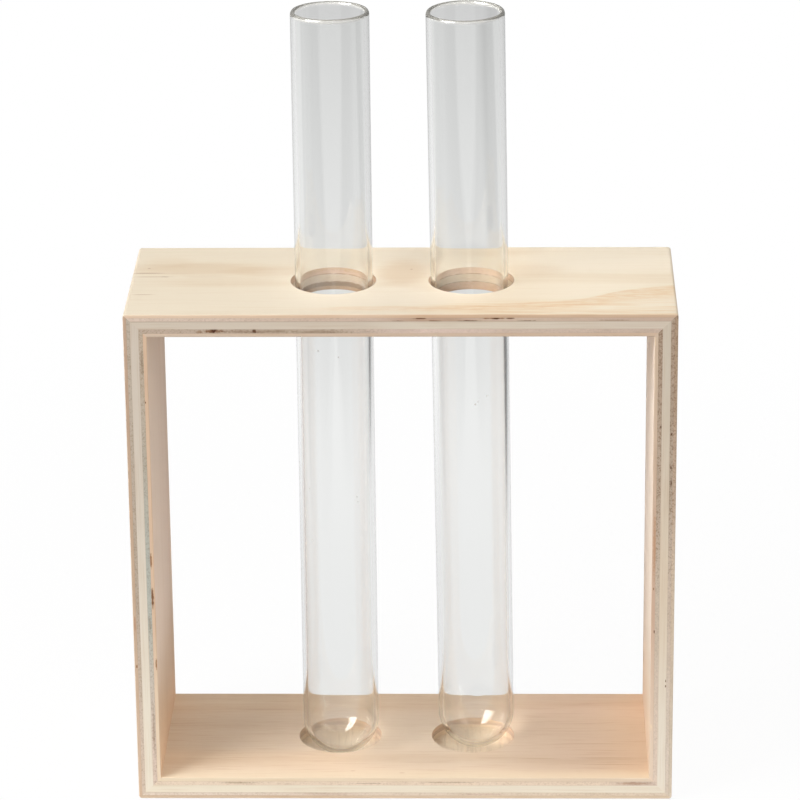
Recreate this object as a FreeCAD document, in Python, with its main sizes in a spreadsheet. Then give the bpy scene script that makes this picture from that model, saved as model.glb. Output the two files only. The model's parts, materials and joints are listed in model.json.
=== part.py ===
import FreeCAD, Part
import Sketcher
import math
import os

# Two glass test tubes stand in a small open frame of four mitred plywood boards.
# Millimetres. +X is to the right, +Y to the back and +Z up. The origin is the middle of the underside.

# The driving sizes: name, value and meaning.
DRIVING_SIZES = [
    ("frame_width", 140.0, "outside, left to right"),
    ("frame_height", 135.0, "outside, underside to top face"),
    ("frame_depth", 53.0, "front edge to back edge of every board"),
    ("outer_veneer", 0.9, "thickness of a board's outermost sheet"),
    ("outer_crossband", 0.9, "thickness of the second sheet, whose grain runs from front to back"),
    ("core", 2.1, "thickness of the middle sheet"),
    ("inner_crossband", 1.1, "thickness of the fourth sheet, whose grain runs from front to back"),
    ("inner_veneer", 1.0, "thickness of the sheet that faces the window"),
    ("corner_round", 0.8, "radius of the frame's four outer corners"),
    ("eased_edge", 0.3, "radius of the sanded long edges of the outermost and innermost sheets"),
    ("tube_diameter", 20.0, "outside of the glass"),
    ("tube_wall", 1.2, "thickness of the glass"),
    ("tube_length", 204.0, "round bottom to rim"),
    ("hole_pitch", 35.5, "between the centres of the two holes, and of the two seats"),
    ("hole_clearance", 1.0, "around a tube in its hole, and around it in its seat"),
    ("seat_depth", 3.4, "of the blind seats, down from the bottom board's inner face"),
    ("seat_gap", 0.1, "between a tube's round bottom and the floor of its seat"),
    ("left_foot_right_share", 0.35, "left tube's foot, right of its seat's centre, in clearances"),
    ("left_foot_back_share", -2.8, "left tube's foot, behind its seat's centre, in clearances"),
    ("left_collar_right_share", 0.18, "left tube halfway down its hole, right of the hole's centre, likewise"),
    ("left_collar_back_share", -0.75, "left tube halfway down its hole, behind the hole's centre, likewise"),
    ("right_foot_right_share", 1.0, "right tube's foot, right of its seat's centre, likewise"),
    ("right_foot_back_share", 1.8, "right tube's foot, behind its seat's centre, likewise"),
    ("right_collar_right_share", -0.44, "right tube halfway down its hole, right of the hole's centre"),
    ("right_collar_back_share", 0.6, "right tube halfway down its hole, behind the hole's centre"),
]

# The five sheets of a board from the outside in. Each is named like the cell with its thickness.
SHEETS = ["outer_veneer", "outer_crossband", "core", "inner_crossband", "inner_veneer"]
# The boards: name, length, place of the outer face's middle (x, z), and the turn about Y that brings
# the board's inward direction from +Z to where it points.
BOARDS = [
    ("bottom_board", "sizes.frame_width", "0", "0", 0),
    ("top_board", "sizes.frame_width", "0", "sizes.frame_height", 180),
    ("left_board", "sizes.frame_height", "-sizes.frame_width / 2", "sizes.frame_height / 2", 90),
    ("right_board", "sizes.frame_height", "sizes.frame_width / 2", "sizes.frame_height / 2", -90),
]
# The tubes: name, and the side of the middle on which it stands.
TUBES = [("left", -1), ("right", 1)]

# Points of a sketched line or arc, and the sketch's own axes and origin, as the constraints number them.
START, END, CENTRE = range(1, 4)
ACROSS_AXIS, UP_AXIS = range(-1, -3, -1)
ORIGIN = (ACROSS_AXIS, START)

UP = FreeCAD.Vector(0, 0, 1)
TURN_AXIS = FreeCAD.Vector(0, 1, 0)
MITRE = math.radians(45)
QUARTER_TURN = math.radians(90)
FULL_TURN_DEGREES = 360
# Two places nearer than this count as the same place.
SAME_PLACE = 1e-6

doc = FreeCAD.newDocument("test_tube_vase")


def make_sheet_of_sizes():
    """Put every driving size in the spreadsheet, with its name as the cell's alias."""
    sheet = doc.addObject("Spreadsheet::Sheet", "sizes")
    for row, (name, value, meaning) in enumerate(DRIVING_SIZES, start=1):
        sheet.set("A%d" % row, name)
        sheet.set("B%d" % row, str(value))
        sheet.set("C%d" % row, meaning)
        sheet.setAlias("B%d" % row, name)
    doc.recompute()
    return sheet


sizes = make_sheet_of_sizes()


def worked_out(formula):
    """The number that a formula of the spreadsheet's sizes gives now."""
    result = sizes.evalExpression(formula)
    return float(getattr(result, "Value", result))


def depth_after(count):
    """Formula for the distance from a board's outer face to the far side of its first sheets."""
    if count == 0:
        return "0"
    return "(" + " + ".join("sizes." + name for name in SHEETS[:count]) + ")"


BOARD_THICKNESS = depth_after(len(SHEETS))
HOLE_DIAMETER = "(sizes.tube_diameter + 2 * sizes.hole_clearance)"


def add_sketch(body, name, plane_role, lift="0"):
    """A sketch on one of the body's own planes, lifted along the plane's normal by a formula."""
    sketch = body.newObject("Sketcher::SketchObject", name)
    plane = [feature for feature in body.Origin.OriginFeatures if feature.Role == plane_role][0]
    sketch.AttachmentSupport = [(plane, "")]
    sketch.MapMode = "FlatFace"
    if lift != "0":
        sketch.setExpression(".AttachmentOffset.Base.z", lift)
    return sketch


def bind(sketch, kind, places, name, formula):
    """Add a measured constraint whose value follows a formula."""
    index = sketch.addConstraint(Sketcher.Constraint(kind, *places, worked_out(formula)))
    sketch.renameConstraint(index, name)
    sketch.setExpression("Constraints." + name, formula)


def join_in_a_ring(sketch, joints):
    """Make each listed end of one line or arc coincide with the listed end of the next."""
    for first, first_end, second, second_end in joints:
        sketch.addConstraint(Sketcher.Constraint("Coincident", first, first_end, second, second_end))


def flat(x, y):
    """A point in a sketch."""
    return FreeCAD.Vector(x, y, 0)


def draw_inner_sheet(sketch, span, near, far):
    """Outline of a sheet between two depths: a trapezoid whose ends run along the mitres."""
    half_near = worked_out("%s / 2 - %s" % (span, near))
    half_far = worked_out("%s / 2 - %s" % (span, far))
    low = worked_out(near)
    high = worked_out(far)
    corners = [flat(-half_near, low), flat(half_near, low), flat(half_far, high), flat(-half_far, high)]
    for number, corner in enumerate(corners):
        sketch.addGeometry(Part.LineSegment(corner, corners[(number + 1) % len(corners)]), False)
    near_line, right_mitre, far_line, left_mitre = range(len(corners))
    join_in_a_ring(sketch, [
        (near_line, END, right_mitre, START),
        (right_mitre, END, far_line, START),
        (far_line, END, left_mitre, START),
        (left_mitre, END, near_line, START),
    ])
    sketch.addConstraint(Sketcher.Constraint("Symmetric", near_line, START, near_line, END, UP_AXIS))
    sketch.addConstraint(Sketcher.Constraint("Symmetric", far_line, START, far_line, END, UP_AXIS))
    bind(sketch, "DistanceX", (*ORIGIN, near_line, END), "half_near", "%s / 2 - %s" % (span, near))
    bind(sketch, "DistanceY", (*ORIGIN, near_line, END), "depth_near", near)
    bind(sketch, "DistanceX", (*ORIGIN, far_line, START), "half_far", "%s / 2 - %s" % (span, far))
    bind(sketch, "DistanceY", (*ORIGIN, far_line, START), "depth_far", far)


def draw_outermost_sheet(sketch, span, far):
    """Outline of the outermost sheet, whose outer corners are rounded as far as the mitres."""
    radius = worked_out("sizes.corner_round")
    half_flat = worked_out("%s / 2 - sizes.corner_round" % span)
    half_far = worked_out("%s / 2 - %s" % (span, far))
    high = worked_out(far)
    down = -QUARTER_TURN
    right_centre = flat(half_flat, radius)
    left_centre = flat(-half_flat, radius)
    mitre_step = radius * math.sin(MITRE)
    right_tip = flat(half_flat + mitre_step, radius - mitre_step)
    left_tip = flat(-half_flat - mitre_step, radius - mitre_step)
    sketch.addGeometry(Part.LineSegment(flat(-half_flat, 0), flat(half_flat, 0)), False)
    sketch.addGeometry(Part.ArcOfCircle(Part.Circle(right_centre, UP, radius), down, down + MITRE), False)
    sketch.addGeometry(Part.LineSegment(right_tip, flat(half_far, high)), False)
    sketch.addGeometry(Part.LineSegment(flat(half_far, high), flat(-half_far, high)), False)
    sketch.addGeometry(Part.LineSegment(flat(-half_far, high), left_tip), False)
    sketch.addGeometry(Part.ArcOfCircle(Part.Circle(left_centre, UP, radius), down - MITRE, down), False)
    outer_line, right_arc, right_mitre, far_line, left_mitre, left_arc = range(sketch.GeometryCount)
    join_in_a_ring(sketch, [
        (outer_line, END, right_arc, START),
        (right_arc, END, right_mitre, START),
        (right_mitre, END, far_line, START),
        (far_line, END, left_mitre, START),
        (left_mitre, END, left_arc, START),
        (left_arc, END, outer_line, START),
    ])
    sketch.addConstraint(Sketcher.Constraint("PointOnObject", outer_line, START, ACROSS_AXIS))
    sketch.addConstraint(Sketcher.Constraint("Symmetric", outer_line, START, outer_line, END, UP_AXIS))
    sketch.addConstraint(Sketcher.Constraint("Symmetric", far_line, START, far_line, END, UP_AXIS))
    sketch.addConstraint(Sketcher.Constraint("Symmetric", right_arc, CENTRE, left_arc, CENTRE, UP_AXIS))
    sketch.addConstraint(Sketcher.Constraint("Vertical", outer_line, END, right_arc, CENTRE))
    sketch.addConstraint(Sketcher.Constraint("PointOnObject", right_arc, CENTRE, right_mitre))
    sketch.addConstraint(Sketcher.Constraint("PointOnObject", left_arc, CENTRE, left_mitre))
    to_arc = (*ORIGIN, right_arc, CENTRE)
    bind(sketch, "DistanceX", to_arc, "half_flat", "%s / 2 - sizes.corner_round" % span)
    bind(sketch, "DistanceY", to_arc, "corner_round", "sizes.corner_round")
    bind(sketch, "DistanceX", (*ORIGIN, far_line, START), "half_far", "%s / 2 - %s" % (span, far))
    bind(sketch, "DistanceY", (*ORIGIN, far_line, START), "depth_far", far)


def ease_long_edges(body, pad, lowest, highest):
    """Round the long front and back edges of the pad that lie between two depths."""
    half_depth = worked_out("sizes.frame_depth / 2")
    chosen = []
    for number, edge in enumerate(pad.Shape.Edges, start=1):
        box = edge.BoundBox
        on_front_or_back = abs(abs(edge.CenterOfMass.y) - half_depth) < SAME_PLACE
        in_band = box.ZMin > lowest - SAME_PLACE and box.ZMax < highest + SAME_PLACE
        if on_front_or_back and in_band:
            chosen.append("Edge%d" % number)
    fillet = body.newObject("PartDesign::Fillet", body.Name + "_eased")
    fillet.Base = (pad, chosen)
    fillet.setExpression("Radius", "sizes.eased_edge")


def bore_for_tubes(body, face, depth):
    """Cut the two round holes down from the sheet's inner face, as deep as the formula says."""
    sketch = add_sketch(body, body.Name + "_bores", "XY_Plane", face)
    radius = worked_out(HOLE_DIAMETER) / 2
    half_pitch = worked_out("sizes.hole_pitch / 2")
    left = sketch.addGeometry(Part.Circle(flat(-half_pitch, 0), UP, radius), False)
    right = sketch.addGeometry(Part.Circle(flat(half_pitch, 0), UP, radius), False)
    sketch.addConstraint(Sketcher.Constraint("Symmetric", left, CENTRE, right, CENTRE, *ORIGIN))
    sketch.addConstraint(Sketcher.Constraint("PointOnObject", right, CENTRE, ACROSS_AXIS))
    sketch.addConstraint(Sketcher.Constraint("Equal", left, right))
    bind(sketch, "DistanceX", (left, CENTRE, right, CENTRE), "pitch", "sizes.hole_pitch")
    bind(sketch, "Diameter", (right,), "diameter", HOLE_DIAMETER)
    doc.recompute()
    before = body.Shape.Volume
    pocket = body.newObject("PartDesign::Pocket", body.Name + "_pocket")
    pocket.Profile = sketch
    pocket.Type = "Length"
    pocket.setExpression("Length", depth)
    doc.recompute()
    if body.Shape.Volume >= before:
        raise RuntimeError(body.Label + ": its bores cut nothing")


def make_board(board, span, x_formula, z_formula, turn):
    """The five sheets of one board, drawn with the board's outer face at height zero and inward as up."""
    sheets = []
    for number, sheet_name in enumerate(SHEETS):
        near = depth_after(number)
        far = depth_after(number + 1)
        body = doc.addObject("PartDesign::Body", board + "_" + sheet_name)
        sketch = add_sketch(body, body.Name + "_outline", "XZ_Plane")
        if number == 0:
            draw_outermost_sheet(sketch, span, far)
        else:
            draw_inner_sheet(sketch, span, near, far)
        doc.recompute()
        pad = body.newObject("PartDesign::Pad", body.Name + "_pad")
        pad.Profile = sketch
        pad.Type = "Length"
        pad.SideType = "Symmetric"
        pad.setExpression("Length", "sizes.frame_depth")
        doc.recompute()
        if number == 0:
            ease_long_edges(body, pad, 0, worked_out("sizes.corner_round") * (1 - math.cos(MITRE)))
        if number == len(SHEETS) - 1:
            ease_long_edges(body, pad, worked_out(far), worked_out(far))
        doc.recompute()
        if board == "top_board":
            bore_for_tubes(body, far, BOARD_THICKNESS)
        if board == "bottom_board":
            left_to_cut = "sizes.seat_depth - (%s - %s)" % (BOARD_THICKNESS, far)
            if worked_out(left_to_cut) > 0:
                bore_for_tubes(body, far, left_to_cut)
        body.Placement = FreeCAD.Placement(flat(0, 0), FreeCAD.Rotation(TURN_AXIS, turn))
        body.setExpression(".Placement.Base.x", x_formula)
        body.setExpression(".Placement.Base.z", z_formula)
        sheets.append(body)
    return sheets


def draw_tube_profile(sketch):
    """Half section of a tube about the vertical axis: round bottom, straight wall and melted rim."""
    radius = worked_out("sizes.tube_diameter / 2")
    wall = worked_out("sizes.tube_wall")
    length = worked_out("sizes.tube_length")
    bore = radius - wall
    lip = wall / 2
    ball = flat(0, radius)
    rim = flat(radius - lip, length - lip)
    sketch.addGeometry(Part.ArcOfCircle(Part.Circle(ball, UP, radius), -QUARTER_TURN, 0), False)
    sketch.addGeometry(Part.LineSegment(flat(radius, radius), flat(radius, length - lip)), False)
    sketch.addGeometry(Part.ArcOfCircle(Part.Circle(rim, UP, lip), 0, 2 * QUARTER_TURN), False)
    sketch.addGeometry(Part.LineSegment(flat(bore, length - lip), flat(bore, radius)), False)
    sketch.addGeometry(Part.ArcOfCircle(Part.Circle(ball, UP, bore), -QUARTER_TURN, 0), False)
    sketch.addGeometry(Part.LineSegment(flat(0, wall), flat(0, 0)), False)
    outer_ball, outer_wall, rim_arc, inner_wall, inner_ball, middle = range(sketch.GeometryCount)
    join_in_a_ring(sketch, [
        (outer_ball, END, outer_wall, START),
        (outer_wall, END, rim_arc, START),
        (rim_arc, END, inner_wall, START),
        (inner_wall, END, inner_ball, END),
        (inner_ball, START, middle, START),
        (middle, END, outer_ball, START),
        (outer_ball, CENTRE, inner_ball, CENTRE),
    ])
    sketch.addConstraint(Sketcher.Constraint("Coincident", outer_ball, START, *ORIGIN))
    sketch.addConstraint(Sketcher.Constraint("PointOnObject", outer_ball, CENTRE, UP_AXIS))
    sketch.addConstraint(Sketcher.Constraint("PointOnObject", inner_ball, START, UP_AXIS))
    sketch.addConstraint(Sketcher.Constraint("Horizontal", outer_ball, CENTRE, outer_ball, END))
    sketch.addConstraint(Sketcher.Constraint("Horizontal", inner_ball, CENTRE, inner_ball, END))
    sketch.addConstraint(Sketcher.Constraint("Vertical", outer_wall))
    sketch.addConstraint(Sketcher.Constraint("Vertical", inner_wall))
    sketch.addConstraint(Sketcher.Constraint("Horizontal", rim_arc, CENTRE, rim_arc, START))
    sketch.addConstraint(Sketcher.Constraint("Horizontal", rim_arc, CENTRE, rim_arc, END))
    bind(sketch, "Radius", (outer_ball,), "outer_radius", "sizes.tube_diameter / 2")
    bind(sketch, "Radius", (inner_ball,), "inner_radius", "sizes.tube_diameter / 2 - sizes.tube_wall")
    to_rim = (*ORIGIN, rim_arc, CENTRE)
    bind(sketch, "DistanceY", to_rim, "rim_height", "sizes.tube_length - sizes.tube_wall / 2")


def make_tube(side_name, side):
    """One tube, drawn upright on its round bottom and then leaned the way it stands in its hole and seat."""
    body = doc.addObject("PartDesign::Body", side_name + "_tube")
    sketch = add_sketch(body, body.Name + "_profile", "XZ_Plane")
    draw_tube_profile(sketch)
    doc.recompute()
    turned = body.newObject("PartDesign::Revolution", body.Name + "_turned")
    turned.Profile = sketch
    turned.ReferenceAxis = (sketch, ["V_Axis"])
    turned.Angle = FULL_TURN_DEGREES
    # The tube's axis passes its foot, just above the seat's floor, and its collar, halfway down the hole.
    foot_x = "sizes.%s_foot_right_share * sizes.hole_clearance" % side_name
    foot_y = "sizes.%s_foot_back_share * sizes.hole_clearance" % side_name
    run_x = "(sizes.%s_collar_right_share * sizes.hole_clearance - %s)" % (side_name, foot_x)
    run_y = "(sizes.%s_collar_back_share * sizes.hole_clearance - %s)" % (side_name, foot_y)
    foot_z = "(%s - sizes.seat_depth + sizes.seat_gap)" % BOARD_THICKNESS
    rise = "(sizes.frame_height - %s / 2 - %s)" % (BOARD_THICKNESS, foot_z)
    lean = "atan(sqrt(%s ^ 2 + %s ^ 2) / %s)" % (run_x, run_y, rise)
    # The upright tube turns about a level axis square to the way it leans.
    lean_axis = FreeCAD.Vector(-worked_out(run_y), worked_out(run_x), 0)
    lean_turn = FreeCAD.Rotation(lean_axis, worked_out(lean))
    body.Placement = FreeCAD.Placement(flat(0, 0), lean_turn)
    body.setExpression(".Placement.Rotation.Angle", lean)
    body.setExpression(".Placement.Base.x", "%d * sizes.hole_pitch / 2 + %s" % (side, foot_x))
    body.setExpression(".Placement.Base.y", foot_y)
    body.setExpression(".Placement.Base.z", foot_z)
    return body


def check_and_write(pieces):
    """Stop if anything in the document failed; otherwise write one file for each piece."""
    for thing in doc.Objects:
        if "Invalid" in thing.State or "Error" in thing.State:
            raise RuntimeError(thing.Label + " failed: " + ", ".join(thing.State))
    for piece in pieces:
        if piece.Shape.isNull() or not piece.Shape.isValid():
            raise RuntimeError(piece.Label + " has no valid shape")
        if len(piece.Shape.Solids) != 1:
            raise RuntimeError(piece.Label + " is not one solid")
    os.makedirs("parts", exist_ok=True)
    for piece in pieces:
        piece.Shape.exportStep("parts/" + piece.Label + ".step")


pieces = []
for board_row in BOARDS:
    pieces.extend(make_board(*board_row))
for tube_row in TUBES:
    pieces.append(make_tube(*tube_row))
doc.recompute()
check_and_write(pieces)
print("%d pieces written" % len(pieces))
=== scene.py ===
import json
import math

import bmesh
import bpy
from mathutils import Matrix, Vector


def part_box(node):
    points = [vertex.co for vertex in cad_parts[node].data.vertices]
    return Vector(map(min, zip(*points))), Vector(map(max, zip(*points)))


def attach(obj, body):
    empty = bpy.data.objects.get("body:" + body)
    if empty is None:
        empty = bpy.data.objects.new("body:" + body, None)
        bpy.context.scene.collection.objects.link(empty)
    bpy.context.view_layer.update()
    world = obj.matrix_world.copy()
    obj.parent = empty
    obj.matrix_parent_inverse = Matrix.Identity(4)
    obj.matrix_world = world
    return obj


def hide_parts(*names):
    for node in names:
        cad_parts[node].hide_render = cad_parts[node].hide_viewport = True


# Two glass test tubes in a small open frame of mitred plywood boards.
# Metres, unless a comment says millimetres. +X is to the right, +Y to the back and +Z up, in the frame of the
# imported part.

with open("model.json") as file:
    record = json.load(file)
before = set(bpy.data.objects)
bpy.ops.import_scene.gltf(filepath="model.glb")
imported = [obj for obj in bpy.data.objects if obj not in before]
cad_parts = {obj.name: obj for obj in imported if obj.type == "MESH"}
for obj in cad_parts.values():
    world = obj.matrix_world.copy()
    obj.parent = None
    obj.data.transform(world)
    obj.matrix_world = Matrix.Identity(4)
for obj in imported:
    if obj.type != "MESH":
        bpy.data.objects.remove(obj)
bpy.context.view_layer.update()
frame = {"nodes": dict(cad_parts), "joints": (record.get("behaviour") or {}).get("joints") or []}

MM = 0.001

# The camera, as the photograph's perspective gives it: place in millimetres and turns in degrees. Its reach
# is how far it sees.
CAMERA_PLACE_MM = (25.5, -1021.4, 488.1)
CAMERA_YAW = -1.481
CAMERA_PITCH = 20.70
CAMERA_ROLL = -0.587
CAMERA_LENS_MM = 188.91
SENSOR_WIDTH_MM = 36.0
CAMERA_REACH = 20.0

# The frame's outside, its holes and the tubes.
FRAME_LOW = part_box("left_board_outer_veneer")[0]
FRAME_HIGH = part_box("right_board_outer_veneer")[1]
FRAME_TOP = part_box("top_board_outer_veneer")[1].z
HOLE_RADIUS = 11.0 * MM
HOLE_PITCH = 35.5 * MM
TUBE_RADIUS = 10.0 * MM
TUBE_WALL = 1.2 * MM
TUBE_LENGTH = 204.0 * MM
RIM_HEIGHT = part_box("right_tube")[1].z


def linear(red, green, blue):
    """A colour written as display values from 0 to 255, as the linear colour that a shader takes."""
    def one(value):
        value = value / 255
        return value / 12.92 if value <= 0.04045 else ((value + 0.055) / 1.055) ** 2.4
    return (one(red), one(green), one(blue), 1.0)


class Graph:
    """A material's or world's nodes. Values given to a method are numbers, tuples or nodes' outputs."""

    def __init__(self, owner):
        owner.use_nodes = True
        self.tree = owner.node_tree
        self.tree.nodes.clear()

    def add(self, kind, **settings):
        node = self.tree.nodes.new("ShaderNode" + kind)
        for name, value in settings.items():
            setattr(node, name, value)
        return node

    def feed(self, socket, value):
        if isinstance(value, bpy.types.NodeSocket):
            self.tree.links.new(value, socket)
        else:
            socket.default_value = value

    def run(self, kind, values, output=0, **settings):
        """Adds a node, feeds its first sockets with the values, and gives one of its outputs."""
        node = self.add(kind, **settings)
        for socket, value in zip(node.inputs, values):
            self.feed(socket, value)
        return node.outputs[output]

    def show(self, shader, kind="OutputMaterial"):
        self.feed(self.add(kind).inputs["Surface"], shader)

    # Numbers.

    def math(self, operation, *values):
        return self.run("Math", values, operation=operation)

    def multiply(self, first, second):
        return self.math("MULTIPLY", first, second)

    def subtract(self, first, second):
        return self.math("SUBTRACT", first, second)

    def line(self, value, slope, start):
        """The value times the slope, plus the start."""
        return self.math("MULTIPLY_ADD", value, slope, start)

    def rise(self, value, low, high):
        """0 below low and 1 above high, smoothly between them. It falls instead where low is above high."""
        ends = (low, high, 0.0, 1.0) if low < high else (high, low, 1.0, 0.0)
        return self.run("MapRange", (value,) + ends, interpolation_type="SMOOTHSTEP")

    def zone(self, *edges):
        """1 inside all the soft edges and 0 outside any of them. An edge is a value and its rise's ends."""
        share = self.rise(*edges[0])
        for edge in edges[1:]:
            share = self.multiply(share, self.rise(*edge))
        return share

    def blend(self, share, first, second):
        """A number between two others."""
        node = self.add("Mix", data_type="FLOAT")
        for place, value in zip((0, 2, 3), (share, first, second)):
            self.feed(node.inputs[place], value)
        return node.outputs[0]

    def follow(self, value, points):
        """A height read off a smooth line through points of place and height."""
        places, heights = zip(*points)
        low, high = min(heights), max(heights)
        span = places[-1] - places[0]
        node = self.add("FloatCurve")
        curve = node.mapping.curves[0]
        while len(curve.points) < len(points):
            curve.points.new(0.5, 0.5)
        for knot, place, height in zip(curve.points, places, heights):
            knot.location = ((place - places[0]) / span, (height - low) / (high - low))
        node.mapping.update()
        self.feed(node.inputs["Value"], self.line(value, 1 / span, -places[0] / span))
        return self.line(node.outputs[0], high - low, low)

    # Places.

    def object_place(self):
        return self.add("TexCoord").outputs["Object"]

    def place(self, x, y, z):
        return self.run("CombineXYZ", (x, y, z))

    def split(self, place):
        """The x, y and z of a place."""
        node = self.add("SeparateXYZ")
        self.feed(node.inputs[0], place)
        return tuple(node.outputs)

    def length(self, place):
        return self.run("VectorMath", (place,), "Value", operation="LENGTH")

    def noise(self, parts, detail=3.0, roughness=0.5):
        """Noise at a place of three parts. Each is a number, or a coordinate paired with its frequency."""
        scaled = [self.multiply(*part) if isinstance(part, tuple) else part for part in parts]
        node = self.add("TexNoise")
        self.feed(node.inputs["Vector"], self.place(*scaled))
        for name, value in (("Scale", 1.0), ("Detail", detail), ("Roughness", roughness)):
            self.feed(node.inputs[name], value)
        return node.outputs[0]

    def blot(self, u, v, middle, reach, frayed, fray):
        """1 in the middle of an ellipse and 0 outside it, with an edge that a noise frays."""
        moved = self.run("VectorMath", (self.place(u, v, 0.0), middle + (0.0,)), operation="SUBTRACT")
        shrunk = self.run("VectorMath", (moved, reach + (1.0,)), operation="DIVIDE")
        edge = self.line(self.subtract(frayed, 0.5), fray, self.length(shrunk))
        return self.rise(edge, 1.0, 0.35)

    # Colours.

    def mix(self, share, first, second, blend_type="MIX"):
        """A colour between two others. With MULTIPLY it lies between the first and the product of both."""
        node = self.add("Mix", data_type="RGBA", blend_type=blend_type)
        for place, value in zip((0, 6, 7), (share, first, second)):
            self.feed(node.inputs[place], value)
        return node.outputs[2]

    def tint(self, first, second):
        """One colour times another."""
        return self.mix(1.0, first, second, "MULTIPLY")

    def stain(self, colour, share, factor, strength=1.0):
        """The colour times a factor, one number each for red, green and blue, where the share is 1. A
        strength below 1 weakens it."""
        if strength != 1.0:
            share = self.multiply(share, strength)
        return self.mix(share, colour, factor + (1.0,), "MULTIPLY")

    def ramp(self, value, stops):
        """A colour that changes smoothly along the stops, each a place and its colour as display values."""
        first, last = stops[0][0], stops[-1][0]
        span = last - first
        node = self.add("ValToRGB")
        band = node.color_ramp
        band.interpolation = "EASE"
        while len(band.elements) < len(stops):
            band.elements.new(0.5)
        for element, (place, colour) in zip(band.elements, stops):
            element.position = (place - first) / span
            element.color = linear(*colour)
        self.feed(node.inputs[0], self.line(value, 1 / span, -first / span))
        return node.outputs[0]

    # Shaders.

    def principled(self, colour, roughness, sockets):
        node = self.add("BsdfPrincipled")
        self.feed(node.inputs["Base Color"], colour)
        self.feed(node.inputs["Roughness"], roughness)
        for name, value in sockets.items():
            self.feed(node.inputs[name], value)
        return node.outputs[0]

    def bump(self, height, strength, distance):
        node = self.add("Bump")
        for name, value in (("Height", height), ("Strength", strength), ("Distance", distance)):
            self.feed(node.inputs[name], value)
        return node.outputs[0]

    def coloured(self, kind, colour):
        """A shader that has only a colour."""
        node = self.add(kind)
        self.feed(node.inputs["Color"], colour)
        return node.outputs[0]

    def glow(self, kind, strength):
        """White light from an Emission or a Background node."""
        node = self.add(kind)
        self.feed(node.inputs["Strength"], strength)
        return node.outputs[0]

    def mix_shaders(self, share, first, second):
        return self.run("MixShader", (share, first, second))

    def seen_by(self, camera, glass, rest):
        """One shader for the camera, one for rays that glass mirrors or bends, and one for all other rays."""
        path = self.add("LightPath").outputs
        plain = self.mix_shaders(path["Is Camera Ray"], rest, camera)
        by_glass = self.math("MAXIMUM", path["Is Transmission Ray"], path["Is Glossy Ray"])
        return self.mix_shaders(by_glass, plain, glass)


# The boards. Each has the axis along its length, the axis through it, the place of its outer face on that
# axis, and the sign that turns a step inward into a positive depth.
BOARDS = {
    "top": ("x", "z", FRAME_TOP, -1.0),
    "bottom": ("x", "z", 0.0, 1.0),
    "left": ("z", "x", FRAME_LOW.x, 1.0),
    "right": ("z", "x", FRAME_HIGH.x, -1.0),
}
SHEETS = ("outer_veneer", "outer_crossband", "core", "inner_crossband", "inner_veneer")

# Base colour of each open face, as display values.
FACES = {
    ("top", "outer_veneer"): (247, 233, 210),
    ("top", "inner_veneer"): (236, 212, 186),
    ("bottom", "inner_veneer"): (250, 229, 203),
    ("bottom", "outer_veneer"): (238, 218, 190),
    ("left", "inner_veneer"): (239, 217, 198),
    ("left", "outer_veneer"): (240, 222, 198),
    ("right", "inner_veneer"): (250, 233, 216),
    ("right", "outer_veneer"): (240, 222, 198),
}

# Colours of the sawn edges: places along the board in millimetres, x on the top and bottom boards and z on
# the side boards, each with its colour as display values.
EDGES = {
    ("top", "outer_veneer"): (
        (-60, (235, 209, 182)), (-12, (232, 204, 176)), (10, (221, 188, 157)), (60, (222, 192, 163))),
    ("top", "outer_crossband"): (
        (-60, (228, 207, 190)), (-8, (220, 196, 178)), (5, (200, 168, 145)), (30, (219, 195, 174)),
        (60, (214, 188, 168))),
    ("top", "core"): (
        (-60, (220, 206, 188)), (-12, (222, 208, 190)), (6, (231, 218, 199)), (60, (228, 214, 196))),
    ("top", "inner_crossband"): (
        (-60, (200, 179, 160)), (-20, (200, 180, 160)), (8, (231, 207, 192)), (32, (221, 198, 180)),
        (60, (219, 196, 178))),
    ("top", "inner_veneer"): ((-60, (220, 198, 176)), (60, (223, 196, 170))),
    ("bottom", "inner_veneer"): ((-60, (229, 211, 184)), (60, (225, 205, 182))),
    ("bottom", "inner_crossband"): ((-60, (228, 209, 187)), (50, (230, 210, 188)), (62, (215, 194, 178))),
    ("bottom", "core"): ((-60, (231, 221, 201)), (60, (233, 223, 205))),
    ("bottom", "outer_crossband"): ((-60, (220, 204, 188)), (60, (222, 205, 184))),
    ("bottom", "outer_veneer"): ((-60, (208, 184, 158)), (60, (216, 197, 172))),
    ("left", "outer_veneer"): ((10, (210, 184, 160)), (60, (202, 175, 150)), (125, (200, 170, 146))),
    ("left", "outer_crossband"): ((10, (211, 192, 174)), (60, (192, 175, 157)), (125, (199, 184, 166))),
    ("left", "core"): ((10, (232, 222, 204)), (125, (219, 206, 190))),
    ("left", "inner_crossband"): ((10, (218, 198, 182)), (60, (185, 186, 176)), (125, (200, 182, 162))),
    ("left", "inner_veneer"): ((10, (230, 210, 183)), (60, (224, 193, 163)), (125, (226, 195, 165))),
    ("right", "inner_veneer"): ((10, (231, 209, 186)), (60, (213, 182, 158)), (125, (224, 200, 175))),
    ("right", "inner_crossband"): (
        (10, (224, 204, 186)), (60, (212, 195, 176)), (90, (197, 176, 156)), (125, (188, 164, 142))),
    ("right", "core"): ((10, (236, 226, 210)), (60, (230, 213, 190)), (125, (222, 209, 190))),
    ("right", "outer_crossband"): (
        (10, (221, 206, 190)), (60, (214, 195, 177)), (90, (190, 170, 150)), (125, (190, 167, 146))),
    ("right", "outer_veneer"): (
        (10, (214, 199, 180)), (60, (221, 202, 180)), (90, (204, 180, 158)), (125, (188, 162, 137))),
}

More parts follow.
